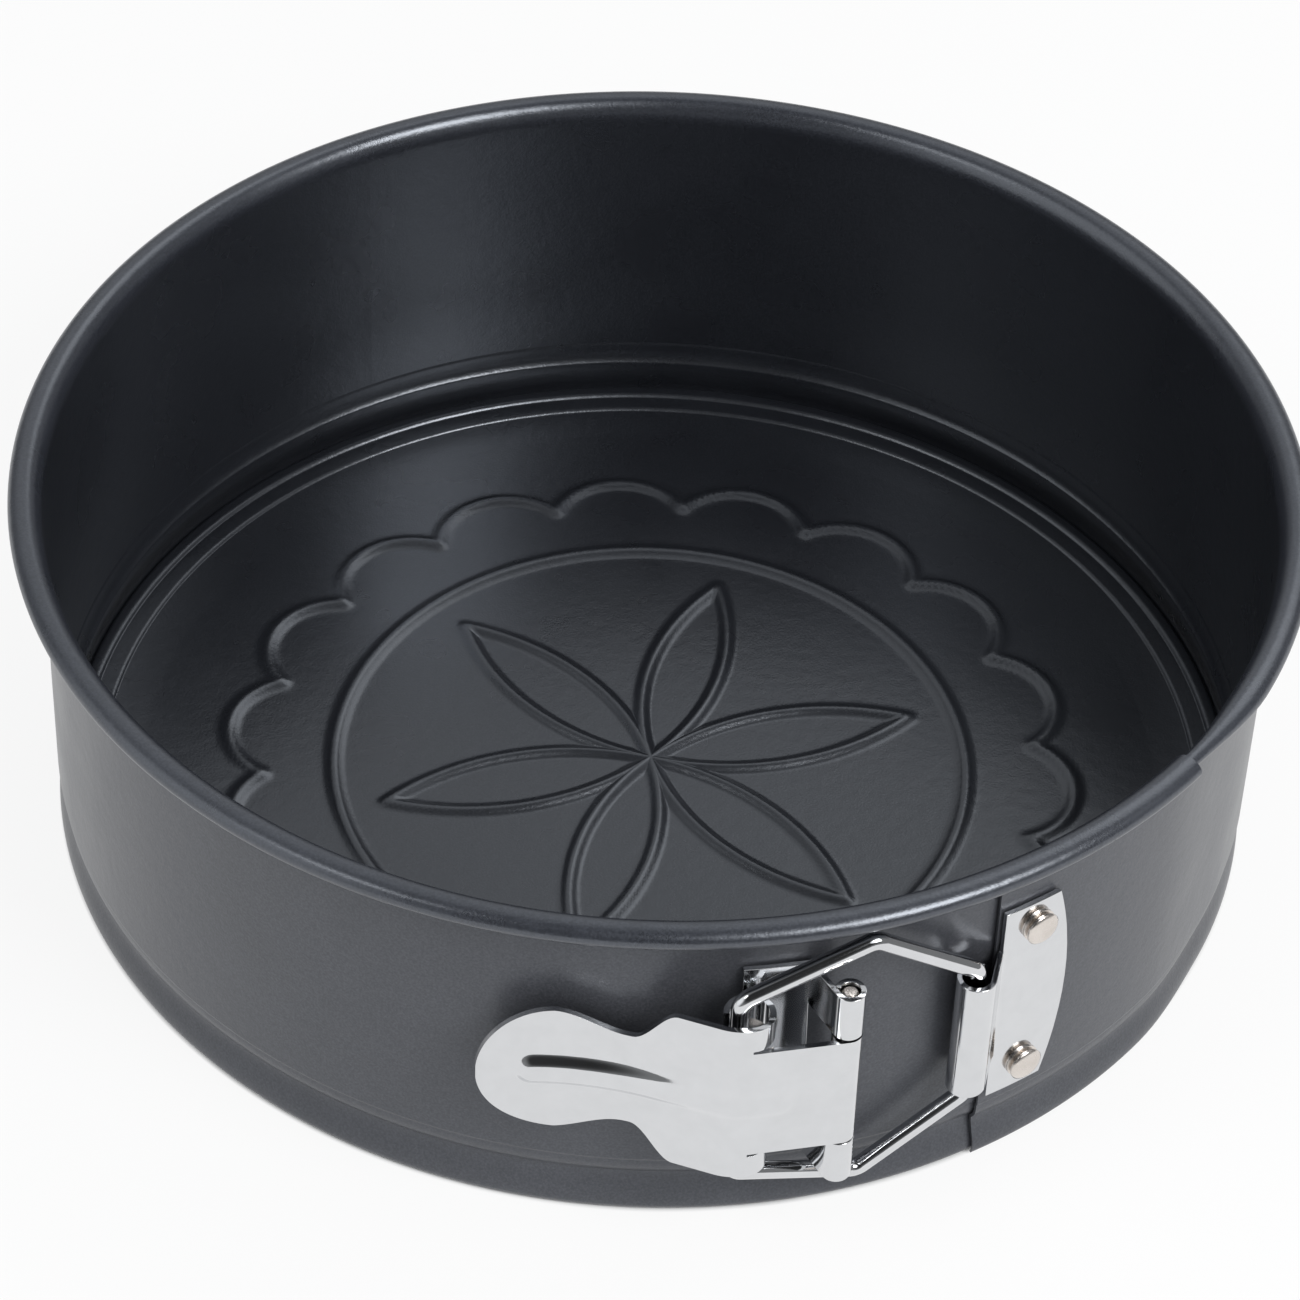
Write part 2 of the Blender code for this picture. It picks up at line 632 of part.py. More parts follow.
def make_bail():
    up = Vector((0.0, 0.0, 1.0))
    middle = LEG_AXIS.lerp(KEEPER_AXIS, BAIL_CORNER_SHARE)
    corners = [
        LEG_AXIS + up * BAIL_LEFT_HALF,
        middle + up * BAIL_CORNER_HALF,
        KEEPER_AXIS + up * BAIL_RIGHT_HALF,
        KEEPER_AXIS - up * BAIL_RIGHT_HALF,
        middle - up * BAIL_CORNER_HALF,
        LEG_AXIS - up * BAIL_LEFT_HALF,
    ]
    route = []
    for i, corner in enumerate(corners):
        route += rounded_corner(corners[i - 1], corner, corners[(i + 1) % len(corners)])
    curve = bpy.data.curves.new("bail", "CURVE")
    curve.dimensions = "3D"
    curve.bevel_depth = WIRE_RADIUS
    curve.bevel_resolution = 2
    spline = curve.splines.new("POLY")
    spline.points.add(len(route) - 1)
    for point, place in zip(spline.points, route):
        point.co = (*place, 1.0)
    spline.use_cyclic_u = True
    add_part("bail", mesh_of_curve("bail", curve, Matrix.Identity(4)), PLATING, KEEPER_AXIS)


band_left, band_right = make_band()
make_base_plate()
hinge_bracket = make_hinge_bracket()
make_hinge_pin()
make_lever()
keeper_plate = make_keeper_plate()
make_bail()
for place, side in (("upper", 1), ("lower", -1)):
    make_rivet(
        f"bracket_rivet_{place}",
        BRACKET_ARC + BRACKET_RIVET_INSET,
        side * BRACKET_RIVET_HEIGHT - BRACKET_RIVET_DROP,
        WALL_OUTER_RADIUS,
        BRACKET_HEAD_RADIUS,
        BRACKET_HEAD_HEIGHT,
        (band_left, hinge_bracket),
    )
    make_rivet(
        f"keeper_rivet_{place}",
        KEEPER_END_ARC + KEEPER_RIVET_INSET,
        side * (KEEPER_HALF_HEIGHT - KEEPER_RIVET_EDGE),
        LAP_OUTER_RADIUS,
        KEEPER_HEAD_RADIUS,
        KEEPER_HEAD_HEIGHT,
        (band_right, keeper_plate),
    )
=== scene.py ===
# %% [markdown]
# # A springform pan
# A springform pan is a cake tin that comes apart. A strip of coated steel is bent into a ring, and a lever latch
# pulls its two ends over each other, so that the ring grips a loose base plate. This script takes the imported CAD
# model as its frame, in metres with +Z up and the latch at the front, -Y, and dresses it: each CAD node is replaced
# by a finer piece of the same size, with rolled edges, pressed lines and node materials.

import json
import math

import bmesh
import bpy
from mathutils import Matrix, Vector

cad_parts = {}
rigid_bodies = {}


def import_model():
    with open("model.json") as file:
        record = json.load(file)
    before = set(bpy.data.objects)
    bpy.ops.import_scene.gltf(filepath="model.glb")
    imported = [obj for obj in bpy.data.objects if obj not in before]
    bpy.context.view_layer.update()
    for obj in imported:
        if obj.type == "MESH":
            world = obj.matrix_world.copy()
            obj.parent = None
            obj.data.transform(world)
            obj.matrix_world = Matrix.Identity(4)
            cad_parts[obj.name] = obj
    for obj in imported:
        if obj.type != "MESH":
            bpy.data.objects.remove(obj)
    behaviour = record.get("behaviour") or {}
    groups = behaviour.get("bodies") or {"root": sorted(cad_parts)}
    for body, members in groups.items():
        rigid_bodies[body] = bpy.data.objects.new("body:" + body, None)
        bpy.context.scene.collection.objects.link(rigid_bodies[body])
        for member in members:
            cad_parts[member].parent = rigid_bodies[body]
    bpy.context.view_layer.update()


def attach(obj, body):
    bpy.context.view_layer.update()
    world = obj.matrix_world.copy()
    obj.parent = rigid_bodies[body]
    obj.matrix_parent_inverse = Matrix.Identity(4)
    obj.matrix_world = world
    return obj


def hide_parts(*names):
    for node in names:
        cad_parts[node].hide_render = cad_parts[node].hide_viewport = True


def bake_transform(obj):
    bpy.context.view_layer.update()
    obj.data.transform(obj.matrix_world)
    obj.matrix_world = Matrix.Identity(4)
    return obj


for item in list(bpy.data.objects):
    bpy.data.objects.remove(item)
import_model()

# %% [markdown]
# ## The camera
# The photo looks down on the pan from the front, a little to the left of the latch, through a long lens. Its place
# and lens were worked out from the two ellipses of the rim and the foot, so the numbers are given as they came out.
# The picture is square, and a 36 mm sensor is Blender's usual one.

# %% Camera
camera_data = bpy.data.cameras.new("photo_camera")
camera_data.sensor_width = 36.0
camera_data.lens = 127.357
camera = bpy.data.objects.new("photo_camera", camera_data)
camera.location = (-0.16239, -0.54267, 0.54520)
camera.rotation_euler = (0.828491, -0.031523, -0.260385)
bpy.context.scene.collection.objects.link(camera)
bpy.context.scene.camera = camera
print("camera", round(camera.location.length, 3), "m from the origin, lens", camera_data.lens, "mm")

# %% [markdown]
# ## Helpers for nodes
# Both materials and Geometry Nodes are trees of nodes, built in the same way: add a node, set its options, and give
# each input either a number or another node's output. One small function does that for both.

# %% Node helpers


def add_node(tree, kind, inputs=None, **options):
    """Adds a node. Inputs go by socket name or number, and each is a value or another node's output."""
    new = tree.nodes.new(kind)
    for name, value in options.items():
        setattr(new, name, value)
    for key, value in (inputs or {}).items():
        if isinstance(value, bpy.types.NodeSocket):
            tree.links.new(value, new.inputs[key])
        else:
            new.inputs[key].default_value = value
    return new


def add_math(tree, operation, first, second=0.0):
    """A Math node's result."""
    return add_node(tree, "ShaderNodeMath", {0: first, 1: second}, operation=operation).outputs[0]


def map_range(tree, value, low, high, to_low, to_high, smooth=False):
    """A value carried from one range to another, held at its ends."""
    kind = "SMOOTHSTEP" if smooth else "LINEAR"
    inputs = {"Value": value, "From Min": low, "From Max": high, "To Min": to_low, "To Max": to_high}
    return add_node(tree, "ShaderNodeMapRange", inputs, interpolation_type=kind).outputs[0]


print("node helpers: add_node, add_math, map_range")

# %% [markdown]
# ## The coatings
# The strip is coated in two finishes: dark grey with fine bright grains outside, and a blacker non-stick inside,
# which the base carries too. Both are sprayed on, so they have a slight orange-peel ripple. A dielectric Principled
# shader gives the sheen at grazing angles by itself. Fine noise makes the grains, coarser ones the ripple and the
# uneven gloss. On the rolled rim the black coat is drawn lighter: painted light, in place of the light from the
# front and above that falls on the bead. A number stored on the mesh marks the rim for it.

# %% Material helpers


def new_material(name):
    """An empty node material with its Principled shader and Object coordinates."""
    material = bpy.data.materials.new(name)
    material.use_nodes = True
    tree = material.node_tree
    shader = tree.nodes["Principled BSDF"]
    place = add_node(tree, "ShaderNodeTexCoord").outputs["Object"]
    return material, tree, shader, place


def add_noise(tree, place, scale, detail=2.0, roughness=0.5):
    """A noise's value at a place."""
    inputs = {"Vector": place, "Scale": scale, "Detail": detail, "Roughness": roughness}
    return add_node(tree, "ShaderNodeTexNoise", inputs).outputs["Fac"]


def mix_colour(tree, share, first, second):
    """A mix of two colours, each a tuple or a socket."""
    mixer = add_node(tree, "ShaderNodeMix", data_type="RGBA")
    for socket, value in ((mixer.inputs[0], share), (mixer.inputs[6], first), (mixer.inputs[7], second)):
        if isinstance(value, bpy.types.NodeSocket):
            tree.links.new(value, socket)
        else:
            socket.default_value = value
    return mixer.outputs[2]


def add_bump(tree, height, strength, distance, under=None):
    """A bump from a height, laid over another bump's normal where one is given."""
    inputs = {"Height": height, "Strength": strength, "Distance": distance}
    if under is not None:
        inputs["Normal"] = under
    return add_node(tree, "ShaderNodeBump", inputs).outputs["Normal"]


print("material helpers: new_material, add_noise, mix_colour, add_bump")

# %% Coatings
GRAIN_SCALE, CLOUD_SCALE, PEEL_SCALE = 2600.0, 60.0, 420.0
CLOUD_DARK, CLOUD_LIGHT = (0.92, 0.92, 0.92, 1.0), (1.06, 1.06, 1.06, 1.0)
COOL_SHEEN = (0.87, 0.92, 1.0, 1.0)


def make_coating(name, dark, light, gloss, index, rim_light_gain=1.0):
    """A sprayed coat with dark and light grains. Gloss is its least and greatest roughness. The rim gain paints
    light on the rim.
    """
    material, tree, shader, place = new_material(name)
    grains = map_range(tree, add_noise(tree, place, GRAIN_SCALE), 0.35, 0.75, 0.0, 1.0)
    clouds = map_range(tree, add_noise(tree, place, CLOUD_SCALE, 3.0), 0.3, 0.7, 0.0, 1.0)
    base = mix_colour(tree, grains, dark, light)
    shade = mix_colour(tree, clouds, CLOUD_DARK, CLOUD_LIGHT)
    tone = add_node(tree, "ShaderNodeVectorMath", {0: base, 1: shade}, operation="MULTIPLY").outputs[0]
    # Painted light: where the mesh marks the rolled rim, the rim gain draws the coat lighter, in place of the light
    # from the front and above that falls on the bead.
    rim = add_node(tree, "ShaderNodeAttribute", attribute_name="rim_painted_light").outputs["Fac"]
    gain = map_range(tree, rim, 0.0, 1.0, 1.0, rim_light_gain)
    tone = add_node(tree, "ShaderNodeVectorMath", {0: tone, "Scale": gain}, operation="SCALE").outputs[0]
    tree.links.new(tone, shader.inputs["Base Color"])
    tree.links.new(map_range(tree, clouds, 0.0, 1.0, *gloss), shader.inputs["Roughness"])
    peel = add_bump(tree, add_noise(tree, place, PEEL_SCALE), 0.25, 0.0002)
    tree.links.new(add_bump(tree, grains, 0.18, 0.00006, peel), shader.inputs["Normal"])
    shader.inputs["Metallic"].default_value = 0.0
    shader.inputs["IOR"].default_value = index
    shader.inputs["Specular Tint"].default_value = COOL_SHEEN
    return material


outer_coating = make_coating(
    "outer_coating",
    dark=(0.0445, 0.0462, 0.0525, 1.0),
    light=(0.072, 0.0745, 0.0845, 1.0),
    gloss=(0.28, 0.34),
    index=1.5,
)
inner_coating = make_coating(
    "inner_coating",
    dark=(0.0091, 0.0099, 0.0126, 1.0),
    light=(0.0181, 0.0198, 0.0247, 1.0),
    gloss=(0.26, 0.31),
    index=1.85,
    # Painted light on the rolled rim: the coat is drawn 2.2 times lighter there.
    rim_light_gain=2.2,
)
print("materials", outer_coating.name, inner_coating.name)

# %% [markdown]
# ## The bright platings
# The latch is stamped from sheet steel and then plated. Plating is a mirror, so nearly all of its look comes from
# what it reflects; the material's own part is a faint waviness left by the press, hairline scratches and a little
# uneven gloss. The rivets are plated too, but their heads were struck in a press, which leaves them warmer and
# duller.

# %% Bright platings
STAIN_SCALE, WAVE_SCALE, HAIRLINE_SCALES = 260.0, 130.0, (300.0, 300.0, 6000.0)


def make_plating(name, tint, dull_tint, gloss, waviness):
    """A plated metal with duller stains. Gloss is its least and greatest roughness."""
    material, tree, shader, place = new_material(name)
    stains = map_range(tree, add_noise(tree, place, STAIN_SCALE, 4.0, 0.6), 0.35, 0.75, 0.0, 1.0)
    tree.links.new(mix_colour(tree, stains, tint, dull_tint), shader.inputs["Base Color"])
    stretch = {"Vector": place, "Scale": HAIRLINE_SCALES}
    stretched = add_node(tree, "ShaderNodeMapping", stretch).outputs["Vector"]
    hairlines = add_noise(tree, stretched, 1.0)
    tree.links.new(map_range(tree, stains, 0.0, 1.0, *gloss), shader.inputs["Roughness"])
    waves = add_bump(tree, add_noise(tree, place, WAVE_SCALE, 1.0), waviness, 0.0004)
    tree.links.new(add_bump(tree, hairlines, 0.03, 0.00002, waves), shader.inputs["Normal"])
    shader.inputs["Metallic"].default_value = 1.0
    return material


bright_plating = make_plating(
    "bright_plating",
    tint=(0.677, 0.685, 0.70, 1.0),
    dull_tint=(0.648, 0.656, 0.67, 1.0),
    gloss=(0.07, 0.12),
    waviness=0.04,
)
warm_plating = make_plating(
    "warm_plating",
    tint=(0.74, 0.69, 0.645, 1.0),
    dull_tint=(0.65, 0.60, 0.555, 1.0),
    gloss=(0.22, 0.32),
    waviness=0.20,
)
print("materials", bright_plating.name, warm_plating.name)

# %% [markdown]
# ## Helpers for sheet metal
# Every part of this pan but the rivets and the wire is bent sheet. The quick way is to lay a grid of points over the
# middle of the sheet and let a Solidify modifier give it its thickness and a Bevel its soft edge. Sizes are written
# in millimetres and turned into metres where points are made. Angles round the pan run from the front towards +X,
# and heights on the latch are counted from its middle, LATCH_Z.

# %% Sheet helpers
MM = 0.001
LATCH_Z = 34.825


def polar(radius, degrees, z=0.0):
    """A point round the pan's axis, in millimetres."""
    angle = math.radians(degrees)
    return Vector((radius * math.sin(angle), -radius * math.cos(angle), z))


def smooth_step(value, low, high):
    """From 0 at the low end to 1 at the high end, flat at both."""
    share = min(max((value - low) / (high - low), 0.0), 1.0)
    return share * share * (3 - 2 * share)


def add_grid(shape, columns):
    """Lays faces over columns of points in millimetres; a point that is None leaves a hole."""
    verts = [[shape.verts.new(p * MM) if p is not None else None for p in column] for column in columns]
    for here, after in zip(verts, verts[1:]):
        for k in range(len(here) - 1):
            corners = (here[k], here[k + 1], after[k + 1], after[k])
            if None not in corners:
                shape.faces.new(corners)


print("latch's middle is", LATCH_Z, "mm above the table")

# %% Piece helpers
WELD = 2e-6
FOLD_ANGLE = math.radians(50.0)


def new_piece(name, shape, material):
    """A bmesh becomes an object at the origin."""
    bmesh.ops.remove_doubles(shape, verts=shape.verts, dist=WELD)
    loose = [v for v in shape.verts if not v.link_edges]
    bmesh.ops.delete(shape, geom=loose, context="VERTS")
    mesh = bpy.data.meshes.new(name)
    shape.to_mesh(mesh)
    shape.free()
    mesh.materials.append(material)
    mesh.shade_smooth()
    piece = bpy.data.objects.new(name, mesh)
    bpy.context.scene.collection.objects.link(piece)
    return piece


def bake(piece):
    """The modifiers' result becomes the piece's own plain mesh."""
    graph = bpy.context.evaluated_depsgraph_get()
    mesh = bpy.data.meshes.new_from_object(piece.evaluated_get(graph))
    piece.modifiers.clear()
    piece.data = mesh
    mesh.name = piece.name
    return piece


def add_thickness(piece, sheet, edge, offset=0.0, other_side=0):
    """Gives the sheet its thickness and a soft edge, in millimetres; its other side may take the next material."""
    solid = piece.modifiers.new("thickness", "SOLIDIFY")
    solid.thickness = sheet * MM
    solid.offset = offset
    solid.material_offset = other_side
    solid.use_even_offset = True
    if edge:
        soft = piece.modifiers.new("soft_edge", "BEVEL")
        soft.width = edge * MM
        soft.segments = 2
        soft.limit_method = "ANGLE"
        soft.angle_limit = FOLD_ANGLE
        soft.harden_normals = True
    return bake(piece)


def settle(piece, body, slot, *nodes):
    """Puts a finished piece on its body in place of its CAD nodes."""
    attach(piece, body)
    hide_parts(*nodes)
    triangles = sum(len(face.vertices) - 2 for face in piece.data.polygons)
    print(piece.name, "on", body, triangles, "triangles", [round(d / MM, 1) for d in piece.dimensions], "mm")


print("points closer than", WELD / MM, "mm are welded")

# %% [markdown]
# ## The band
# The band is one strip with three features in its section: a rim that flares and rolls outwards into a bead, a
# straight wall, and a foot with a sharp crease over a shallow groove, which holds the base plate. A section swept
# round the axis makes it; a lathe tool would too, but here the section changes on the way: where the strip's ends
# overlap, the right end lies outside the left one, and its bead is squeezed small so that it slides inside the
# other's.

# %% Band foot
CREASE_Z, GROOVE_Z, BULGE_Z, FOOT_Z = 12.0, 8.0, 1.4, 0.525
CREASE_DEPTH, GROOVE_DEPTH, BULGE, FOOT_TURN = 0.18, 1.2, 0.1, 0.4


def foot_offset(z):
    """How far the wall leans out at this height of the foot, in millimetres."""
    if z > GROOVE_Z:
        share = min(max((CREASE_Z - z) / (CREASE_Z - GROOVE_Z), 0.0), 1.0)
        crease = CREASE_DEPTH * smooth_step(CREASE_Z - z, 0.0, 0.5)
        return -crease - (GROOVE_DEPTH - CREASE_DEPTH) * share**3.5
    if z > BULGE_Z:
        share = (GROOVE_Z - z) / (GROOVE_Z - BULGE_Z)
        return -GROOVE_DEPTH + (GROOVE_DEPTH + BULGE) * (1 - math.cos(math.pi * share)) / 2
    share = (BULGE_Z - z) / (BULGE_Z - FOOT_Z)
    return BULGE - FOOT_TURN * (1 - math.cos(math.pi / 2 * share))


print("groove is", GROOVE_DEPTH, "mm deep at a height of", GROOVE_Z, "mm")

# %% Band section
WALL_MIDDLE = 99.775
BAND_SHEET = 0.45
ROLL_Z, ROLL_FLARE = 64.075, 2.3
ROLL_HALF = (2.5, 1.7)
SQUEEZED_HALF = (1.25, 0.92)
LAP_START, LAP_END, BACK_SEAM = 15.10, 36.01, 196.0
LAP_STEP, SQUEEZED_TO, FULL_FROM = 0.9, 36.1, 48.0
COLUMN_DEGREES = 1.25


def band_section(step, half_width, half_height):
    """Points (radius, height) on the middle of the sheet, from the roll's free edge down to the foot."""
    middle = WALL_MIDDLE + step
    section = []
    for degrees in range(-100, 181, 10):
        angle = math.radians(degrees)
        flare = ROLL_FLARE if degrees > 90 else 0.0
        height = ROLL_Z - flare + (half_height + flare) * math.sin(angle)
        section.append((middle + half_width * (1 + math.cos(angle)), height))
    heights = [58.0, 48.0, 38.0, 28.0, 19.0, 14.0, 12.5, 12.1] + [12.0 - 0.125 * i for i in range(5)]
    heights += [11.2 - 0.3 * i for i in range(8)] + [8.9 - 0.1 * i for i in range(13)]
    heights += [7.4 - 0.4 * i for i in range(16)] + [1.1, 0.8, FOOT_Z]
    return section + [(middle + foot_offset(z), z) for z in heights]


def left_section(_angle):
    """The same all the way round."""
    return band_section(0.0, *ROLL_HALF)


def right_section(angle):
    """Outside the left end at the lap, with a squeezed bead, and growing to the full section past it."""
    full = smooth_step(angle, SQUEEZED_TO, FULL_FROM)
    halves = [small + (large - small) * full for small, large in zip(SQUEEZED_HALF, ROLL_HALF)]
    return band_section(LAP_STEP * (1 - full), *halves)


print("band section has", len(left_section(0.0)), "points")

# %% [markdown]
# The two halves meet at the back, where the model gathers the strip's flex into one hinge. On the real pan the strip
# bends along its whole length; here the right half is left in place on no body, with its CAD node hidden.

# %% Band halves


def make_band(name, start, end, section_at):
    """Sweeps a section round the axis, grey outside and black inside, and marks the rim for its painted light."""
    count = math.ceil((end - start) / COLUMN_DEGREES)
    shape = bmesh.new()
    angles = [start + (end - start) * i / count for i in range(count + 1)]
    add_grid(shape, [[polar(r, a, z) for r, z in section_at(a)] for a in angles])
    piece = new_piece(name, shape, outer_coating)
    piece.data.materials.append(inner_coating)
    add_thickness(piece, BAND_SHEET, 0.0, other_side=1)
    piece.data.set_sharp_from_angle(angle=FOLD_ANGLE)
    # Marks the rolled rim, where the inner coat is drawn lighter as painted light.
    rim_light_shares = [smooth_step(v.co.z / MM, ROLL_Z - ROLL_FLARE, ROLL_Z) for v in piece.data.vertices]
    piece.data.attributes.new("rim_painted_light", "FLOAT", "POINT").data.foreach_set("value", rim_light_shares)
    return piece


band_left = make_band("coated_band_left", BACK_SEAM - 360.0, LAP_END, left_section)
settle(band_left, "ring_left", "dark_coating", "band_left")
band_right = make_band("coated_band_right", LAP_START, BACK_SEAM, right_section)
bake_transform(band_right)
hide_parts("band_right")
print(band_right.name, "bends from ring_left to ring_right")

# %% [markdown]
# ## The base plate
# The base is a disc pressed from thin sheet: a flat edge under the band's groove, turned down at its rim, two small
# steps down with a ring between them, which stiffen it, and a floor with a pressed ornament. First comes the plain
# turned disc. Its top gets many rings, since the ornament is pressed into them afterwards; its underside needs few.

# %% Profile helpers


def rounded(points, radius, steps):
    """A path of (radius, height) points with each inner corner rounded."""
    path = [Vector(points[0])]
    for before, corner, after in zip(points, points[1:], points[2:]):
        corner = Vector(corner)
        come, go = Vector(before) - corner, Vector(after) - corner
        reach = min(radius, come.length * 0.45, go.length * 0.45)
        first, last = corner + come.normalized() * reach, corner + go.normalized() * reach
        for i in range(steps + 1):
            t = i / steps
            path.append(first * (1 - t) ** 2 + corner * 2 * t * (1 - t) + last * t**2)
    return path + [Vector(points[-1])]


def offset_path(path, distance):
    """The path moved sideways, to the left of its way."""
    moved = []
    for i, point in enumerate(path):
        way = (path[min(i + 1, len(path) - 1)] - path[max(i - 1, 0)]).normalized()
        moved.append(point + Vector((-way.y, way.x)) * distance)
    return moved


print("profile helpers: rounded, offset_path")

# %% Turned disc
BASE_SHEET = 0.7
ON_AXIS = 0.01


def turned_shape(profile, segments):
    """A bmesh turned round the pan's axis from (radius, height) points in millimetres."""
    shape = bmesh.new()
    rings = []
    for radius, height in profile:
        if radius < ON_AXIS:
            rings.append([shape.verts.new((0.0, 0.0, height * MM))] * segments)
            continue
        turn = [polar(radius, 360.0 * k / segments, height) * MM for k in range(segments)]
        rings.append([shape.verts.new(point) for point in turn])
    for here, after in zip(rings, rings[1:]):
        for k in range(segments):
            n = (k + 1) % segments
            shape.faces.new(list(dict.fromkeys((here[k], after[k], after[n], here[n]))))
    return shape


def base_profile():
    """The disc's closed section, from the middle of its top round its edge to the middle of its underside."""
    half = BASE_SHEET / 2
    corners = [(83.0, half), (86.25, half), (93.1, 0.6), (93.55, 1.05)]
    corners += [(96.5, 1.05), (97.0, 1.6), (98.7, 1.6), (98.7, 0.4)]
    middle = rounded(corners, 0.35, 5)
    floor = [Vector((0.76 * i, BASE_SHEET)) for i in range(109)]
    top, under = offset_path(middle, half), offset_path(middle, -half)
    floor_under = [Vector((5.0 * i, 0.0)) for i in range(16, -1, -1)]
    return floor + top + under[::-1] + floor_under


base_plate = new_piece("coated_base_plate", turned_shape(base_profile(), 480), inner_coating)
print(base_plate.name, "turned with", len(base_plate.data.polygons), "faces")

# %% [markdown]
# ## The pressed ornament
# Baking tins often carry a pressed ornament in the floor, which leaves its lines on the cake. A compass flower in a
# scalloped ring is an old one that anyone can draw with a pair of compasses. The lines could be modelled one by one,
# or painted as bump; here Geometry Nodes draw them as arcs repeated round the middle, measure how far each point of
# the sheet lies from the nearest line, and raise the sheet there. Change the number of petals, and the sheet
# follows.

# %% Tree helpers


def new_tree(name, inputs):
    """An empty geometry tree with a geometry in and out and named inputs of (name, kind)."""
    tree = bpy.data.node_groups.new(name, "GeometryNodeTree")
    tree.interface.new_socket(name="Geometry", in_out="INPUT", socket_type="NodeSocketGeometry")
    for label, kind in inputs:
        tree.interface.new_socket(name=label, in_out="INPUT", socket_type=f"NodeSocket{kind}")
    tree.interface.new_socket(name="Geometry", in_out="OUTPUT", socket_type="NodeSocketGeometry")
    return tree, add_node(tree, "NodeGroupInput").outputs


def end_tree(tree, geometry, material):
    """Ends the tree in smooth shading, Realize Instances and Set Material."""
    smooth = add_node(tree, "GeometryNodeSetShadeSmooth", {"Geometry": geometry}).outputs[0]
    real = add_node(tree, "GeometryNodeRealizeInstances", {"Geometry": smooth}).outputs[0]
    done = add_node(tree, "GeometryNodeSetMaterial", {"Geometry": real, "Material": material}).outputs[0]
    add_node(tree, "NodeGroupOutput", {"Geometry": done})
    return tree


def run_tree(piece, tree, values):
    """Runs a geometry tree on a piece with its inputs set, and keeps the result as a plain mesh."""
    modifier = piece.modifiers.new(tree.name, "NODES")
    modifier.node_group = tree
    for item in tree.interface.items_tree:
        if item.in_out == "INPUT" and item.name in values:
            modifier[item.identifier] = values[item.name]
    return bake(piece)


print("tree helpers: new_tree, end_tree, run_tree")

# %% Ornament tree
TOP_ABOVE = 0.0005


def arcs_round(tree, count, ring, radius, start, sweep):
    """An arc repeated round the middle: its centre lies on a ring, and it turns with its place on it."""
    sizes = {"Resolution": 40, "Radius": radius, "Start Angle": start, "Sweep Angle": sweep}
    arc = add_node(tree, "GeometryNodeCurveArc", sizes).outputs[0]
    places = add_node(tree, "GeometryNodeMeshCircle", {"Vertices": count, "Radius": ring}).outputs[0]
    number = add_node(tree, "GeometryNodeInputIndex").outputs[0]
    share = add_math(tree, "DIVIDE", number, count)
    angle = add_math(tree, "MULTIPLY", share, 2 * math.pi)
    spin = add_node(tree, "ShaderNodeCombineXYZ", {"Z": angle}).outputs[0]
    copies = {"Points": places, "Instance": arc, "Rotation": spin}
    return add_node(tree, "GeometryNodeInstanceOnPoints", copies).outputs[0]


def make_ornament_tree():
    """Raises a sheet's top along the lines of a compass flower, its border and a ring of scallops."""
    tree, sizes = new_tree(
        "pressed_ornament",
        [
            ("Petals", "Int"),
            ("Petal Radius", "Float"),
            ("Scallops", "Int"),
            ("Scallop Ring", "Float"),
            ("Scallop Radius", "Float"),
            ("Scallop Half Angle", "Float"),
            ("Border Radius", "Float"),
            ("Line Half Width", "Float"),
            ("Line Height", "Float"),
            ("Material", "Material"),
        ],
    )
    third = 2 * math.pi / 3
    petals = arcs_round(tree, sizes["Petals"], sizes["Petal Radius"], sizes["Petal Radius"], third, third)
    half = sizes["Scallop Half Angle"]
    start, sweep = add_math(tree, "MULTIPLY", half, -1.0), add_math(tree, "MULTIPLY", half, 2.0)
    scallops = arcs_round(tree, sizes["Scallops"], sizes["Scallop Ring"], sizes["Scallop Radius"], start, sweep)
    circle = {"Resolution": 160, "Radius": sizes["Border Radius"]}
    border = add_node(tree, "GeometryNodeCurvePrimitiveCircle", circle).outputs[0]
    lines = add_node(tree, "GeometryNodeJoinGeometry")
    for curve in (petals, scallops, border):
        tree.links.new(curve, lines.inputs[0])
    whole = add_node(tree, "GeometryNodeRealizeInstances", {"Geometry": lines.outputs[0]}).outputs[0]
    wire = add_node(tree, "GeometryNodeCurveToMesh", {"Curve": whole}).outputs[0]
    place = add_node(tree, "GeometryNodeInputPosition").outputs[0]
    axes = add_node(tree, "ShaderNodeSeparateXYZ", {0: place}).outputs
    flat = add_node(tree, "ShaderNodeCombineXYZ", {"X": axes[0], "Y": axes[1]}).outputs[0]
    search = {"Geometry": wire, "Sample Position": flat}
    near = add_node(tree, "GeometryNodeProximity", search, target_element="EDGES").outputs["Distance"]
    rise = map_range(tree, near, 0.0, sizes["Line Half Width"], sizes["Line Height"], 0.0, True)
    top = add_math(tree, "GREATER_THAN", axes[2], TOP_ABOVE)
    offset = add_node(tree, "ShaderNodeCombineXYZ", {"Z": add_math(tree, "MULTIPLY", rise, top)}).outputs[0]
    move = {"Geometry": sizes["Geometry"], "Offset": offset}
    pressed = add_node(tree, "GeometryNodeSetPosition", move).outputs[0]
    return end_tree(tree, pressed, sizes["Material"])


ornament_tree = make_ornament_tree()
print(ornament_tree.name, "has", len(ornament_tree.nodes), "nodes")

# %% Ornament on the base
SCALLOPS, SCALLOP_RING, SCALLOP_RADIUS = 18, 0.060, 0.0125


def scallop_half_angle(count, ring, radius):
    """Half the angle of each scallop's arc, which ends where it meets the next one."""
    across, along = math.sin(math.pi / count), math.cos(math.pi / count)
    meet = ring * along + math.sqrt(radius**2 - (ring * across) ** 2)
    return math.atan2(meet * across, meet * along - ring)


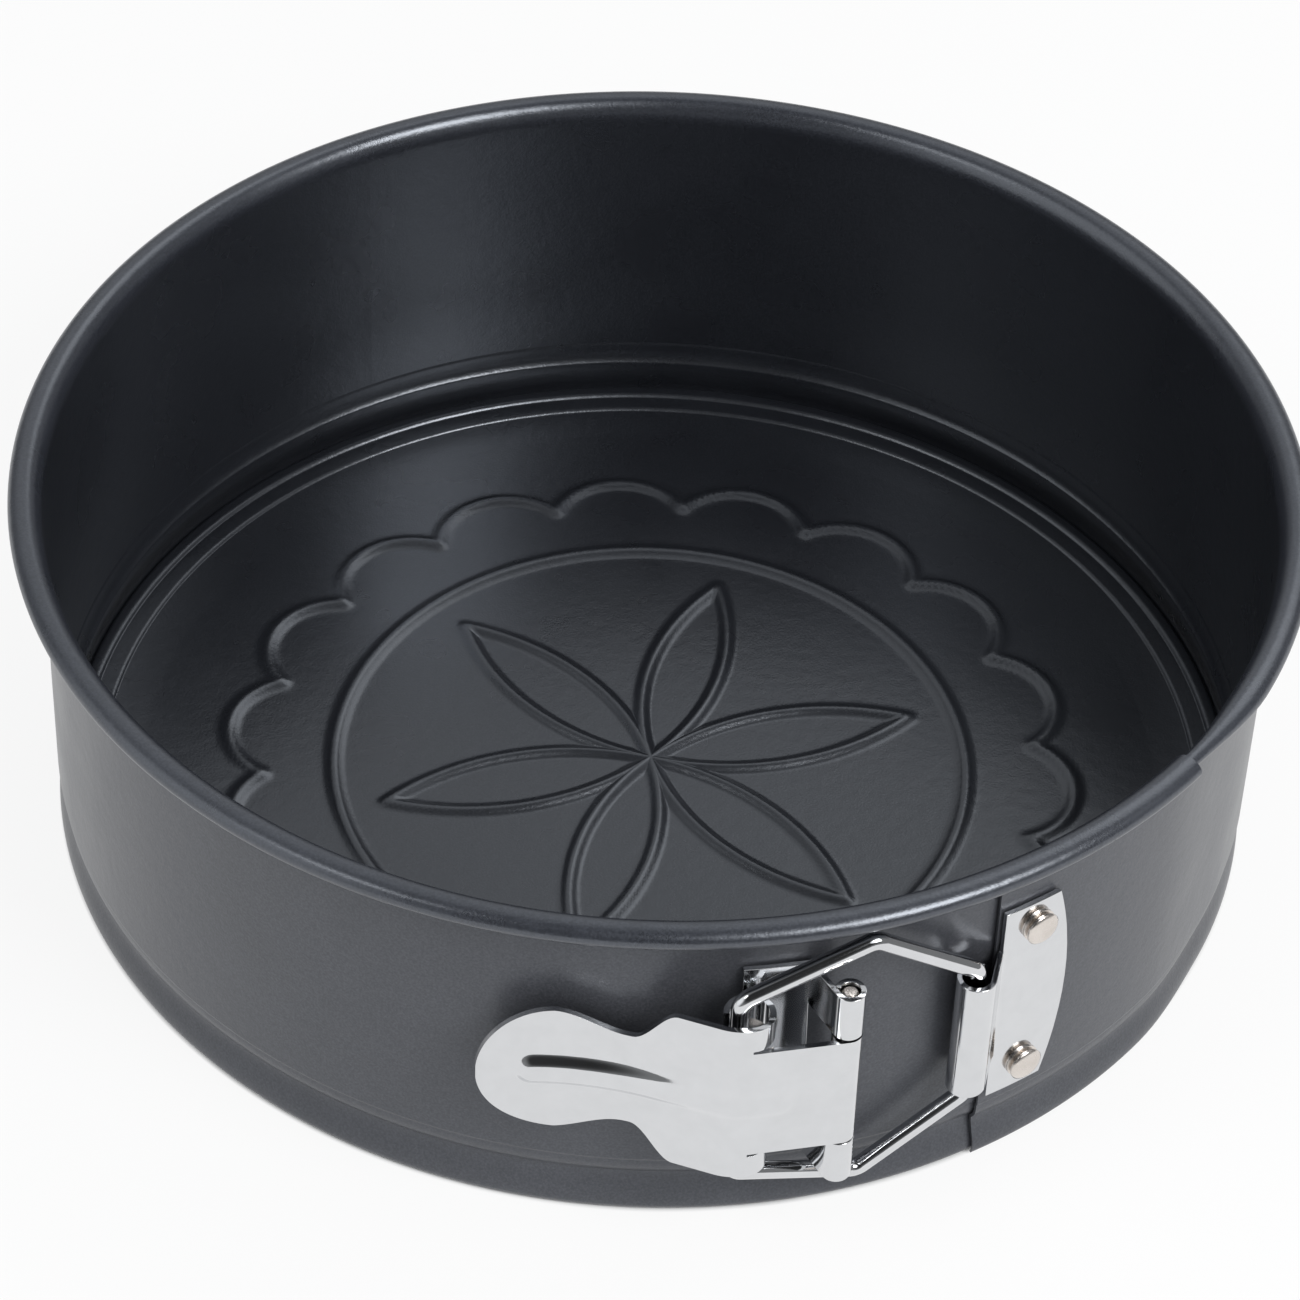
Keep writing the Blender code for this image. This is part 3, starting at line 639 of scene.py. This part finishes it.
run_tree(
    base_plate,
    ornament_tree,
    {
        "Petals": 6,
        "Petal Radius": 0.046,
        "Scallops": SCALLOPS,
        "Scallop Ring": SCALLOP_RING,
        "Scallop Radius": SCALLOP_RADIUS,
        "Scallop Half Angle": scallop_half_angle(SCALLOPS, SCALLOP_RING, SCALLOP_RADIUS),
        "Border Radius": 0.054,
        "Line Half Width": 0.0018,
        "Line Height": 0.0008,
        "Material": inner_coating,
    },
)
base_plate.data.set_sharp_from_angle(angle=math.radians(60.0))
settle(base_plate, "base", "dark_coating", "base_plate")

# %% [markdown]
# ## The lever
# The lever is one stamping. From its rolled eye on the hinge pin a tongue runs to the left, where two ears curl back
# into loops for the wire; past them it bends inwards, narrows to a waist and ends in a round thumb lobe with a
# pressed rib along the middle. Drawn flat it would be an outline cut from sheet and then bent. So the grid here is
# laid out flat, as distance along the sheet and height, and each point is carried onto the bent path, with the rib
# as a rise. The path is a row of runs, each with its length and its first and last heading.

# %% Lever path
PIN = Vector((0.0, -107.5))
LOOP = Vector((-14.43, -104.988))
EYE_RADIUS, LOOP_RADIUS = 2.4, 3.92
TONGUE = 14.647
SLANT, END_SLANT = math.radians(34.0), math.radians(4.0)


def plan_curl(centre, radius, first, last, steps):
    """Plan points round a centre between two angles in degrees."""
    turn = [math.radians(first + (last - first) * i / steps) for i in range(steps + 1)]
    return [centre + Vector((math.cos(a), math.sin(a))) * radius for a in turn]


def tongue_heading():
    """The heading of the line that touches both the eye and the loops."""
    way = LOOP - PIN
    return math.atan2(way.y, -way.x) - math.asin((LOOP_RADIUS - EYE_RADIUS) / way.length)


LEVER_RUNS = (
    (TONGUE, tongue_heading(), tongue_heading()),
    (5.0, tongue_heading(), SLANT),
    (10.5, SLANT, SLANT),
    (26.5, SLANT, END_SLANT),
)
LEVER_LENGTH = sum(run[0] for run in LEVER_RUNS)


def lever_point(distance):
    """Plan point and outward direction on the lever's front, at a distance along it from the eye."""
    heading = tongue_heading()
    point = PIN + Vector((-math.sin(heading), -math.cos(heading))) * EYE_RADIUS
    for length, first, last in LEVER_RUNS:
        here = min(distance, length)
        steps = max(1, math.ceil(here / 0.5))
        for i in range(steps):
            heading = first + (last - first) * (i + 0.5) / steps * here / length
            point = point + Vector((-math.cos(heading), math.sin(heading))) * here / steps
        heading = first + (last - first) * here / length
        distance -= here
        if distance <= 1e-9:
            break
    return point, Vector((-math.sin(heading), -math.cos(heading)))


print("lever is", round(LEVER_LENGTH, 1), "mm long along its front")

# %% Lever outline and rib
EAR_HALF, WAIST_HALF, LOBE_RADIUS = 16.0, 9.4, 12.7
EAR_END, WAIST_START, WAIST_END = 26.2, 33.2, 34.0
LOBE_MIDDLE = LEVER_LENGTH - LOBE_RADIUS
RIB_START, RIB_END = 10.6, LEVER_LENGTH - 8.8
RIB_CREST, RIB_FOOT = 1.1, 3.6


def lever_half_height(distance):
    """Half the lever's height at a distance along it, past the tongue: ear, waist and lobe."""
    if distance < WAIST_END:
        return EAR_HALF + (WAIST_HALF - EAR_HALF) * smooth_step(distance, EAR_END, WAIST_START)
    swell = smooth_step(distance, WAIST_END, LOBE_MIDDLE + 1.5)
    lobe = math.sqrt(LOBE_RADIUS**2 - max(distance - LOBE_MIDDLE, 0.0) ** 2)
    return min(lobe, WAIST_HALF + (LOBE_RADIUS - WAIST_HALF) * swell)


def rib_rise(distance, height):
    """How far the pressed rib stands out of the sheet."""
    beyond = max(RIB_START - distance, distance - RIB_END, 0.0)
    peak = 0.6 + 0.7 * smooth_step(distance, 20.0, 40.0)
    return peak * (1 - smooth_step(math.hypot(beyond, height), RIB_CREST, RIB_FOOT))


print("rib is", round(RIB_END - RIB_START, 1), "mm long")

# %% Lever
LATCH_SHEET, LATCH_EDGE = 0.9, 0.13
LOBE_TRIM = 0.06
TONGUE_HALF = 11.2
EAR_ROWS = [-16.0, -14.9, -13.8, -12.7, -11.6]
EAR_ROWS_ABOVE = [-z for z in EAR_ROWS[::-1]]
TONGUE_ROWS = [-11.1 + 0.37 * i for i in range(61)]
CURL_END = math.degrees(math.pi * 1.5 - tongue_heading()) - 360.0
EYE_TURN, LOOP_TURN = 300.0, 262.0


def latch_point(plan, height):
    """A plan point at a height from the latch's middle."""
    return Vector((plan.x, plan.y, LATCH_Z + height))


def lever_columns():
    """Columns along the lever: the eye and the tongue in the tongue's rows, then the plate in all rows."""
    rows = EAR_ROWS + TONGUE_ROWS + EAR_ROWS_ABOVE
    slack = [None] * len(EAR_ROWS)
    columns = []
    for p in plan_curl(PIN, EYE_RADIUS, CURL_END + EYE_TURN, CURL_END, 30)[:-1]:
        columns.append(slack + [latch_point(p, z) for z in TONGUE_ROWS] + slack)
    plate_length = LEVER_LENGTH - LOBE_TRIM - TONGUE
    stations = [TONGUE * i / 36 for i in range(36)]
    stations += [TONGUE + plate_length * (1 - (1 - i / 100) ** 1.4) for i in range(101)]
    for i, distance in enumerate(stations):
        point, out = lever_point(distance)
        plate = i >= 36
        scale = lever_half_height(distance) / EAR_HALF if plate else 1.0
        column = []
        for z in rows:
            plan = point + out * rib_rise(distance, z * scale)
            column.append(latch_point(plan, z * scale) if plate or abs(z) < TONGUE_HALF else None)
        columns.append(column)
    return columns


def loop_columns(rows):
    """One ear's curl round the wire, ending where the plate begins."""
    turn = plan_curl(LOOP, LOOP_RADIUS, CURL_END + LOOP_TURN, CURL_END, 30)
    turn[-1] = lever_point(TONGUE)[0]
    return [[latch_point(p, z) for z in rows] for p in turn]


lever_shape = bmesh.new()
add_grid(lever_shape, lever_columns())
add_grid(lever_shape, loop_columns(EAR_ROWS))
add_grid(lever_shape, loop_columns(EAR_ROWS_ABOVE))
lever = new_piece("plated_lever", lever_shape, bright_plating)
add_thickness(lever, LATCH_SHEET, LATCH_EDGE, offset=-1.0)
settle(lever, "lever", "bright_plating", "lever")

# %% [markdown]
# ## The hinge bracket and the keeper
# Both are plates riveted to the band with a rolled end: the bracket's two knuckles hold the hinge pin, with a notch
# between them for the lever's eye, and the keeper's eye holds the wire. They could be bent from a flat plate, but a
# path in plan, round the wall and then round the pin or the wire, repeated at each height, is simpler.

# %% Plan helpers


def wall_path(radius, first, last, steps):
    """Plan points round the wall between two angles in degrees."""
    return [polar(radius, first + (last - first) * i / steps).xy for i in range(steps + 1)]


def tangent_angle(start, centre, radius, side):
    """The angle, in degrees, at which a line from start touches a circle on its left (1) or right (-1)."""
    way = centre - start
    return math.degrees(math.atan2(-way.y, -way.x)) - side * math.degrees(math.acos(radius / way.length))


def straight(first, last, steps):
    """The plan points between two ends."""
    return [first.lerp(last, i / steps) for i in range(1, steps)]


print("plan helpers: wall_path, tangent_angle, straight")

# %% Bracket
BRACKET_RADIUS, BRACKET_LEFT, BRACKET_RIGHT = 100.75, -8.08, -2.23
KNUCKLE_RADIUS, KNUCKLE_TURN = 1.95, 315.0
BRACKET_ROWS = [20.0, 19.2, 16.0, 12.3, 11.5]
NOTCH_HALF = 11.0


def bracket_columns():
    """A flange on the wall, an arm out to the pin and a curl round it, with a notch in the middle."""
    flange = wall_path(BRACKET_RADIUS, BRACKET_LEFT, BRACKET_RIGHT, 8)
    touch = tangent_angle(flange[-1], PIN, KNUCKLE_RADIUS, -1)
    curl = plan_curl(PIN, KNUCKLE_RADIUS, touch, touch + KNUCKLE_TURN, 36)
    rows = BRACKET_ROWS + [4.0, -4.0] + [-z for z in BRACKET_ROWS[::-1]]
    columns = [[latch_point(p, z) for z in rows] for p in flange]
    for p in straight(flange[-1], curl[0], 6) + curl:
        columns.append([latch_point(p, z) if abs(z) > NOTCH_HALF else None for z in rows])
    return columns


def make_plate(name, columns, body, node):
    """A plated sheet over columns of points, on its body."""
    shape = bmesh.new()
    add_grid(shape, columns)
    plate = new_piece(name, shape, bright_plating)
    add_thickness(plate, LATCH_SHEET, LATCH_EDGE)
    settle(plate, body, "bright_plating", node)


make_plate("plated_hinge_bracket", bracket_columns(), "ring_left", "hinge_bracket")

# %% Keeper
KEEPER_RADIUS, KEEPER_END, KEEPER_CORNER = 101.65, 15.38, 21.11
KEEPER_HALF, KEEPER_BULGE = 20.0, math.degrees(0.03)
KEEPER_EYE, KEEPER_EYE_RADIUS, KEEPER_EYE_TURN = Vector((21.886, -102.080)), 2.625, 285.0
KEEPER_EYE_HALF = 12.0
KEEPER_ROWS = [20.0, 19.3, 17.5, 15.0, 13.0, 11.8, 11.0, 7.0, 3.5]


def keeper_columns():
    """A plate on the wall with a rounded right edge, and a shorter eye curled at its left."""
    start = polar(KEEPER_RADIUS, KEEPER_END).xy
    touch = tangent_angle(start, KEEPER_EYE, KEEPER_EYE_RADIUS, 1)
    curl = plan_curl(KEEPER_EYE, KEEPER_EYE_RADIUS, touch, touch - KEEPER_EYE_TURN, 34)
    rows = KEEPER_ROWS + [0.0] + [-z for z in KEEPER_ROWS[::-1]]
    columns = []
    for i in range(13):
        column = []
        for z in rows:
            edge = KEEPER_CORNER + KEEPER_BULGE * (1 - (z / KEEPER_HALF) ** 2)
            column.append(latch_point(polar(KEEPER_RADIUS, edge + (KEEPER_END - edge) * i / 12), z))
        columns.append(column)
    for p in straight(start, curl[0], 5) + curl:
        columns.append([latch_point(p, z) if abs(z) < KEEPER_EYE_HALF else None for z in rows])
    return columns


make_plate("plated_keeper", keeper_columns(), "ring_right", "keeper_plate")

# %% [markdown]
# ## The bail
# The bail is a closed hexagon of thick wire. It is a path with rounded corners and a round section, which is what
# Curve to Mesh is for: the tree takes the six corners as a loop of edges, rounds them and sweeps a circle along.

# %% Wire tree


def make_wire_tree():
    """Rounds the corners of a loop of edges and sweeps a wire along it."""
    inputs = [("Wire Radius", "Float"), ("Bend Radius", "Float"), ("Material", "Material")]
    tree, sizes = new_tree("bent_wire", inputs)
    path = add_node(tree, "GeometryNodeMeshToCurve", {"Mesh": sizes["Geometry"]}).outputs[0]
    bend = {"Curve": path, "Count": 10, "Radius": sizes["Bend Radius"], "Limit Radius": True}
    bent = add_node(tree, "GeometryNodeFilletCurve", bend, mode="POLY").outputs[0]
    circle = {"Resolution": 24, "Radius": sizes["Wire Radius"]}
    section = add_node(tree, "GeometryNodeCurvePrimitiveCircle", circle).outputs[0]
    sweep = {"Curve": bent, "Profile Curve": section}
    wire = add_node(tree, "GeometryNodeCurveToMesh", sweep).outputs[0]
    return end_tree(tree, wire, sizes["Material"])


wire_tree = make_wire_tree()
print(wire_tree.name, "has", len(wire_tree.nodes), "nodes")

# %% Bail
BAIL_LEG = Vector((-16.0, -104.988))
BAIL_CORNERS = ((0.0, 18.7), (0.55, 25.225), (1.0, 13.4))
bail_shape = bmesh.new()
plans = [BAIL_LEG.lerp(KEEPER_EYE, share) for share, _height in BAIL_CORNERS]
heights = [height for _share, height in BAIL_CORNERS]
corners = [latch_point(plan, height) for plan, height in zip(plans, heights)]
corners += [latch_point(plan, -height) for plan, height in zip(plans[::-1], heights[::-1])]
loop = [bail_shape.verts.new(c * MM) for c in corners]
for i, vert in enumerate(loop):
    bail_shape.edges.new((vert, loop[(i + 1) % len(loop)]))
bail = new_piece("plated_bail", bail_shape, bright_plating)
run_tree(bail, wire_tree, {"Wire Radius": 0.0014, "Bend Radius": 0.0026, "Material": bright_plating})
settle(bail, "bail", "bright_plating", "bail")

# %% [markdown]
# ## The rivets and the hinge pin
# Each plate is held by two rivets with flat-topped heads that stand on a collar. A head is a disc whose top falls
# off towards its edge and whose side has a groove, and Geometry Nodes set one on each of two points, turned straight
# out from the wall. The pin is a plain turned rod with chamfered ends, which show in the bracket's knuckles.

# %% Rivet tree
EDGE_ROUNDING = 5.0
GROOVE_FLAT, GROOVE_SIDE, HEAD_GROOVE = 0.06, 0.30, 0.24


def make_rivet_tree():
    """Sets a rounded, grooved head on each point, turned to the point's out direction."""
    names = ("Head Radius", "Head Height", "Edge Drop")
    tree, sizes = new_tree("rivet_heads", [(name, "Float") for name in names] + [("Material", "Material")])
    cylinder = {"Vertices": 40, "Side Segments": 14, "Fill Segments": 12}
    cylinder |= {"Radius": sizes["Head Radius"], "Depth": sizes["Head Height"]}
    disc = add_node(tree, "GeometryNodeMeshCylinder", cylinder).outputs[0]
    place = add_node(tree, "GeometryNodeInputPosition").outputs[0]
    axes = add_node(tree, "ShaderNodeSeparateXYZ", {0: place}).outputs
    squares = [add_math(tree, "MULTIPLY", axis, axis) for axis in axes[:2]]
    radius = add_math(tree, "SQRT", add_math(tree, "ADD", *squares))
    share = add_math(tree, "DIVIDE", radius, sizes["Head Radius"])
    fall = add_math(tree, "MULTIPLY", add_math(tree, "POWER", share, EDGE_ROUNDING), sizes["Edge Drop"])
    level = add_math(tree, "DIVIDE", axes[2], sizes["Head Height"])
    drop = add_math(tree, "MULTIPLY", fall, add_math(tree, "SUBTRACT", -0.5, level))
    middle = add_math(tree, "ABSOLUTE", level)
    groove = map_range(tree, middle, GROOVE_FLAT, GROOVE_SIDE, -HEAD_GROOVE, 0.0, True)
    inwards = [add_math(tree, "MULTIPLY", axis, groove) for axis in axes[:2]]
    offset = add_node(tree, "ShaderNodeCombineXYZ", {"X": inwards[0], "Y": inwards[1], "Z": drop}).outputs[0]
    head = add_node(tree, "GeometryNodeSetPosition", {"Geometry": disc, "Offset": offset}).outputs[0]
    named = add_node(tree, "GeometryNodeInputNamedAttribute", {"Name": "out"}, data_type="FLOAT_VECTOR")
    turn = add_node(tree, "FunctionNodeAlignRotationToVector", {"Vector": named.outputs[0]}, axis="Z").outputs[0]
    copies = {"Points": sizes["Geometry"], "Instance": head, "Rotation": turn}
    heads = add_node(tree, "GeometryNodeInstanceOnPoints", copies).outputs[0]
    return end_tree(tree, heads, sizes["Material"])


rivet_tree = make_rivet_tree()
print(rivet_tree.name, "has", len(rivet_tree.nodes), "nodes")

# %% Rivets
EDGE_DROP = 0.32
for plate, angle, middle, half, seat, radius, height, body in (
    ("keeper", 18.88, 0.0, 15.0, 102.1, 2.85, 1.8, "ring_right"),
    ("bracket", -5.21, -4.8, 4.3, 101.2, 2.5, 0.9, "ring_left"),
):
    points = bpy.data.meshes.new(f"{plate}_rivet_heads")
    places = [polar(seat + height / 2, angle, LATCH_Z + middle + side * half) * MM for side in (1, -1)]
    points.from_pydata(places, [], [])
    outwards = points.attributes.new("out", "FLOAT_VECTOR", "POINT")
    for item in outwards.data:
        item.vector = polar(1.0, angle)
    rivets = bpy.data.objects.new(points.name, points)
    bpy.context.scene.collection.objects.link(rivets)
    sizes = {"Head Radius": radius * MM, "Head Height": height * MM, "Edge Drop": EDGE_DROP * height * MM}
    run_tree(rivets, rivet_tree, sizes | {"Material": warm_plating})
    rivets.data.set_sharp_from_angle(angle=math.radians(60.0))
    settle(rivets, body, "warm_plating", f"{plate}_rivet_upper", f"{plate}_rivet_lower")

# %% Hinge pin
PIN_PROFILE = [(0.0, 19.7), (0.95, 19.7), (1.3, 19.3), (1.3, -19.3), (0.95, -19.7), (0.0, -19.7)]
pin_shape = turned_shape(PIN_PROFILE, 32)
bmesh.ops.translate(pin_shape, verts=pin_shape.verts, vec=latch_point(PIN, 0.0) * MM)
pin = new_piece("plated_hinge_pin", pin_shape, warm_plating)
pin.data.set_sharp_from_angle(angle=math.radians(30.0))
settle(pin, "ring_left", "warm_plating", "hinge_pin")

# %% [markdown]
# ## Floor and light
# The photo shows the pan cut out on white. Its coating shines where it faces the back, the right and the left, while
# the plated latch mirrors a dark room round the camera. So the world is a dim room with soft glows behind the pan
# and on both sides. In front, matt surfaces get a glow too, but mirrors see a dark patch with one window in it. Two
# lamps give the light its direction. The floor is white paint which the camera and mirrors see as plain white. It is
# dimmed only where the pan shades it, and underneath the pan that plain white is left out.

# %% Floor
FLOOR_REACH = 3.0
UNDER_PAN, PAST_PAN = 0.0994, 0.1003
PLAIN_WHITE = 0.87
floor_data = bpy.data.meshes.new("floor")
floor_corners = [(x * FLOOR_REACH, y * FLOOR_REACH, 0.0) for x, y in ((-1, -1), (1, -1), (1, 1), (-1, 1))]
floor_data.from_pydata(floor_corners, [], [(0, 1, 2, 3)])
floor = bpy.data.objects.new("floor", floor_data)
bpy.context.scene.collection.objects.link(floor)
floor_paint = bpy.data.materials.new("floor_paint")
floor_paint.use_nodes = True
tree = floor_paint.node_tree
paint = tree.nodes["Principled BSDF"]
paint.inputs["Base Color"].default_value = (0.88, 0.88, 0.88, 1.0)
paint.inputs["Roughness"].default_value = 0.9
paint.inputs["Specular IOR Level"].default_value = 0.0
glow = add_node(tree, "ShaderNodeEmission", {"Color": (1.0, 1.0, 1.0, 1.0), "Strength": 1.0}).outputs[0]
ray = add_node(tree, "ShaderNodeLightPath").outputs
seen = add_math(tree, "MAXIMUM", ray["Is Camera Ray"], ray["Is Glossy Ray"])
place = add_node(tree, "ShaderNodeTexCoord").outputs["Object"]
distance = add_node(tree, "ShaderNodeVectorMath", {0: place}, operation="LENGTH").outputs["Value"]
clear = map_range(tree, distance, UNDER_PAN, PAST_PAN, 0.0, PLAIN_WHITE)
share = add_math(tree, "MULTIPLY", seen, clear)
mixed = add_node(tree, "ShaderNodeMixShader", {0: share, 1: paint.outputs[0], 2: glow})
tree.links.new(mixed.outputs[0], tree.nodes["Material Output"].inputs["Surface"])
floor_data.materials.append(floor_paint)
print("floor is", 2 * FLOOR_REACH, "m wide")

# %% World
ROOM, MATT_EXTRA = 0.23, 0.05
world = bpy.context.scene.world or bpy.data.worlds.new("room")
bpy.context.scene.world = world
world.use_nodes = True
tree = world.node_tree
tree.nodes.clear()
way = add_node(tree, "ShaderNodeTexCoord").outputs["Generated"]


def glow_towards(direction, low, high, strength):
    """A soft round patch of the room: nothing below the low cosine, full strength above the high one."""
    pair = {0: way, 1: tuple(Vector(direction).normalized())}
    facing = add_node(tree, "ShaderNodeVectorMath", pair, operation="DOT_PRODUCT").outputs["Value"]
    return map_range(tree, facing, low, high, 0.0, strength, True)


behind = glow_towards((0.10, 0.655, 0.75), 0.71, 0.99, 0.45)
right = glow_towards((0.55, 0.40, 0.73), 0.92, 0.99, 1.3)
left = glow_towards((-0.93, 0.0, 0.37), 0.74, 0.99, 0.9)
front = glow_towards((0.0, -0.95, 0.25), 0.74, 0.99, 1.2)
dark = glow_towards((-0.10, -0.66, 0.74), 0.62, 0.90, 0.88)
window = glow_towards((0.27, -0.61, 0.745), 0.93, 0.99, 1.7)
room = add_math(tree, "ADD", add_math(tree, "ADD", behind, right), add_math(tree, "ADD", left, ROOM))
for_matt = add_math(tree, "ADD", room, add_math(tree, "ADD", front, MATT_EXTRA))
darkened = add_math(tree, "MULTIPLY", room, add_math(tree, "SUBTRACT", 1.0, dark))
for_mirrors = add_math(tree, "ADD", darkened, window)
ray = add_node(tree, "ShaderNodeLightPath").outputs
by_finish = {0: ray["Is Glossy Ray"], 2: for_matt, 3: for_mirrors}
room_light = add_node(tree, "ShaderNodeMix", by_finish, data_type="FLOAT").outputs[0]
by_eye = {0: ray["Is Camera Ray"], 2: room_light, 3: 1.0}
light = add_node(tree, "ShaderNodeMix", by_eye, data_type="FLOAT").outputs[0]
shine = {"Color": (0.97, 0.985, 1.0, 1.0), "Strength": light}
add_node(tree, "ShaderNodeOutputWorld", {"Surface": add_node(tree, "ShaderNodeBackground", shine).outputs[0]})
print("room has", len(tree.nodes), "nodes")

# %% Lamps
LAMP_TARGET = Vector((0.0, 0.0, 0.03))


def add_lamp(name, place, size, power):
    """A square lamp in metres and watts, aimed at the pan."""
    data = bpy.data.lights.new(name, "AREA")
    data.shape = "RECTANGLE"
    data.size = data.size_y = size
    data.energy = power
    lamp = bpy.data.objects.new(name, data)
    lamp.location = place
    lamp.rotation_euler = (LAMP_TARGET - Vector(place)).to_track_quat("-Z", "Y").to_euler()
    bpy.context.scene.collection.objects.link(lamp)
    print(name, power, "W")


add_lamp("key_lamp", (0.50, -0.77, 0.92), 0.5, 9.2)
add_lamp("side_lamp", (-0.79, -0.27, 1.0), 0.32, 1.2)
bpy.context.scene.view_settings.view_transform = "Standard"
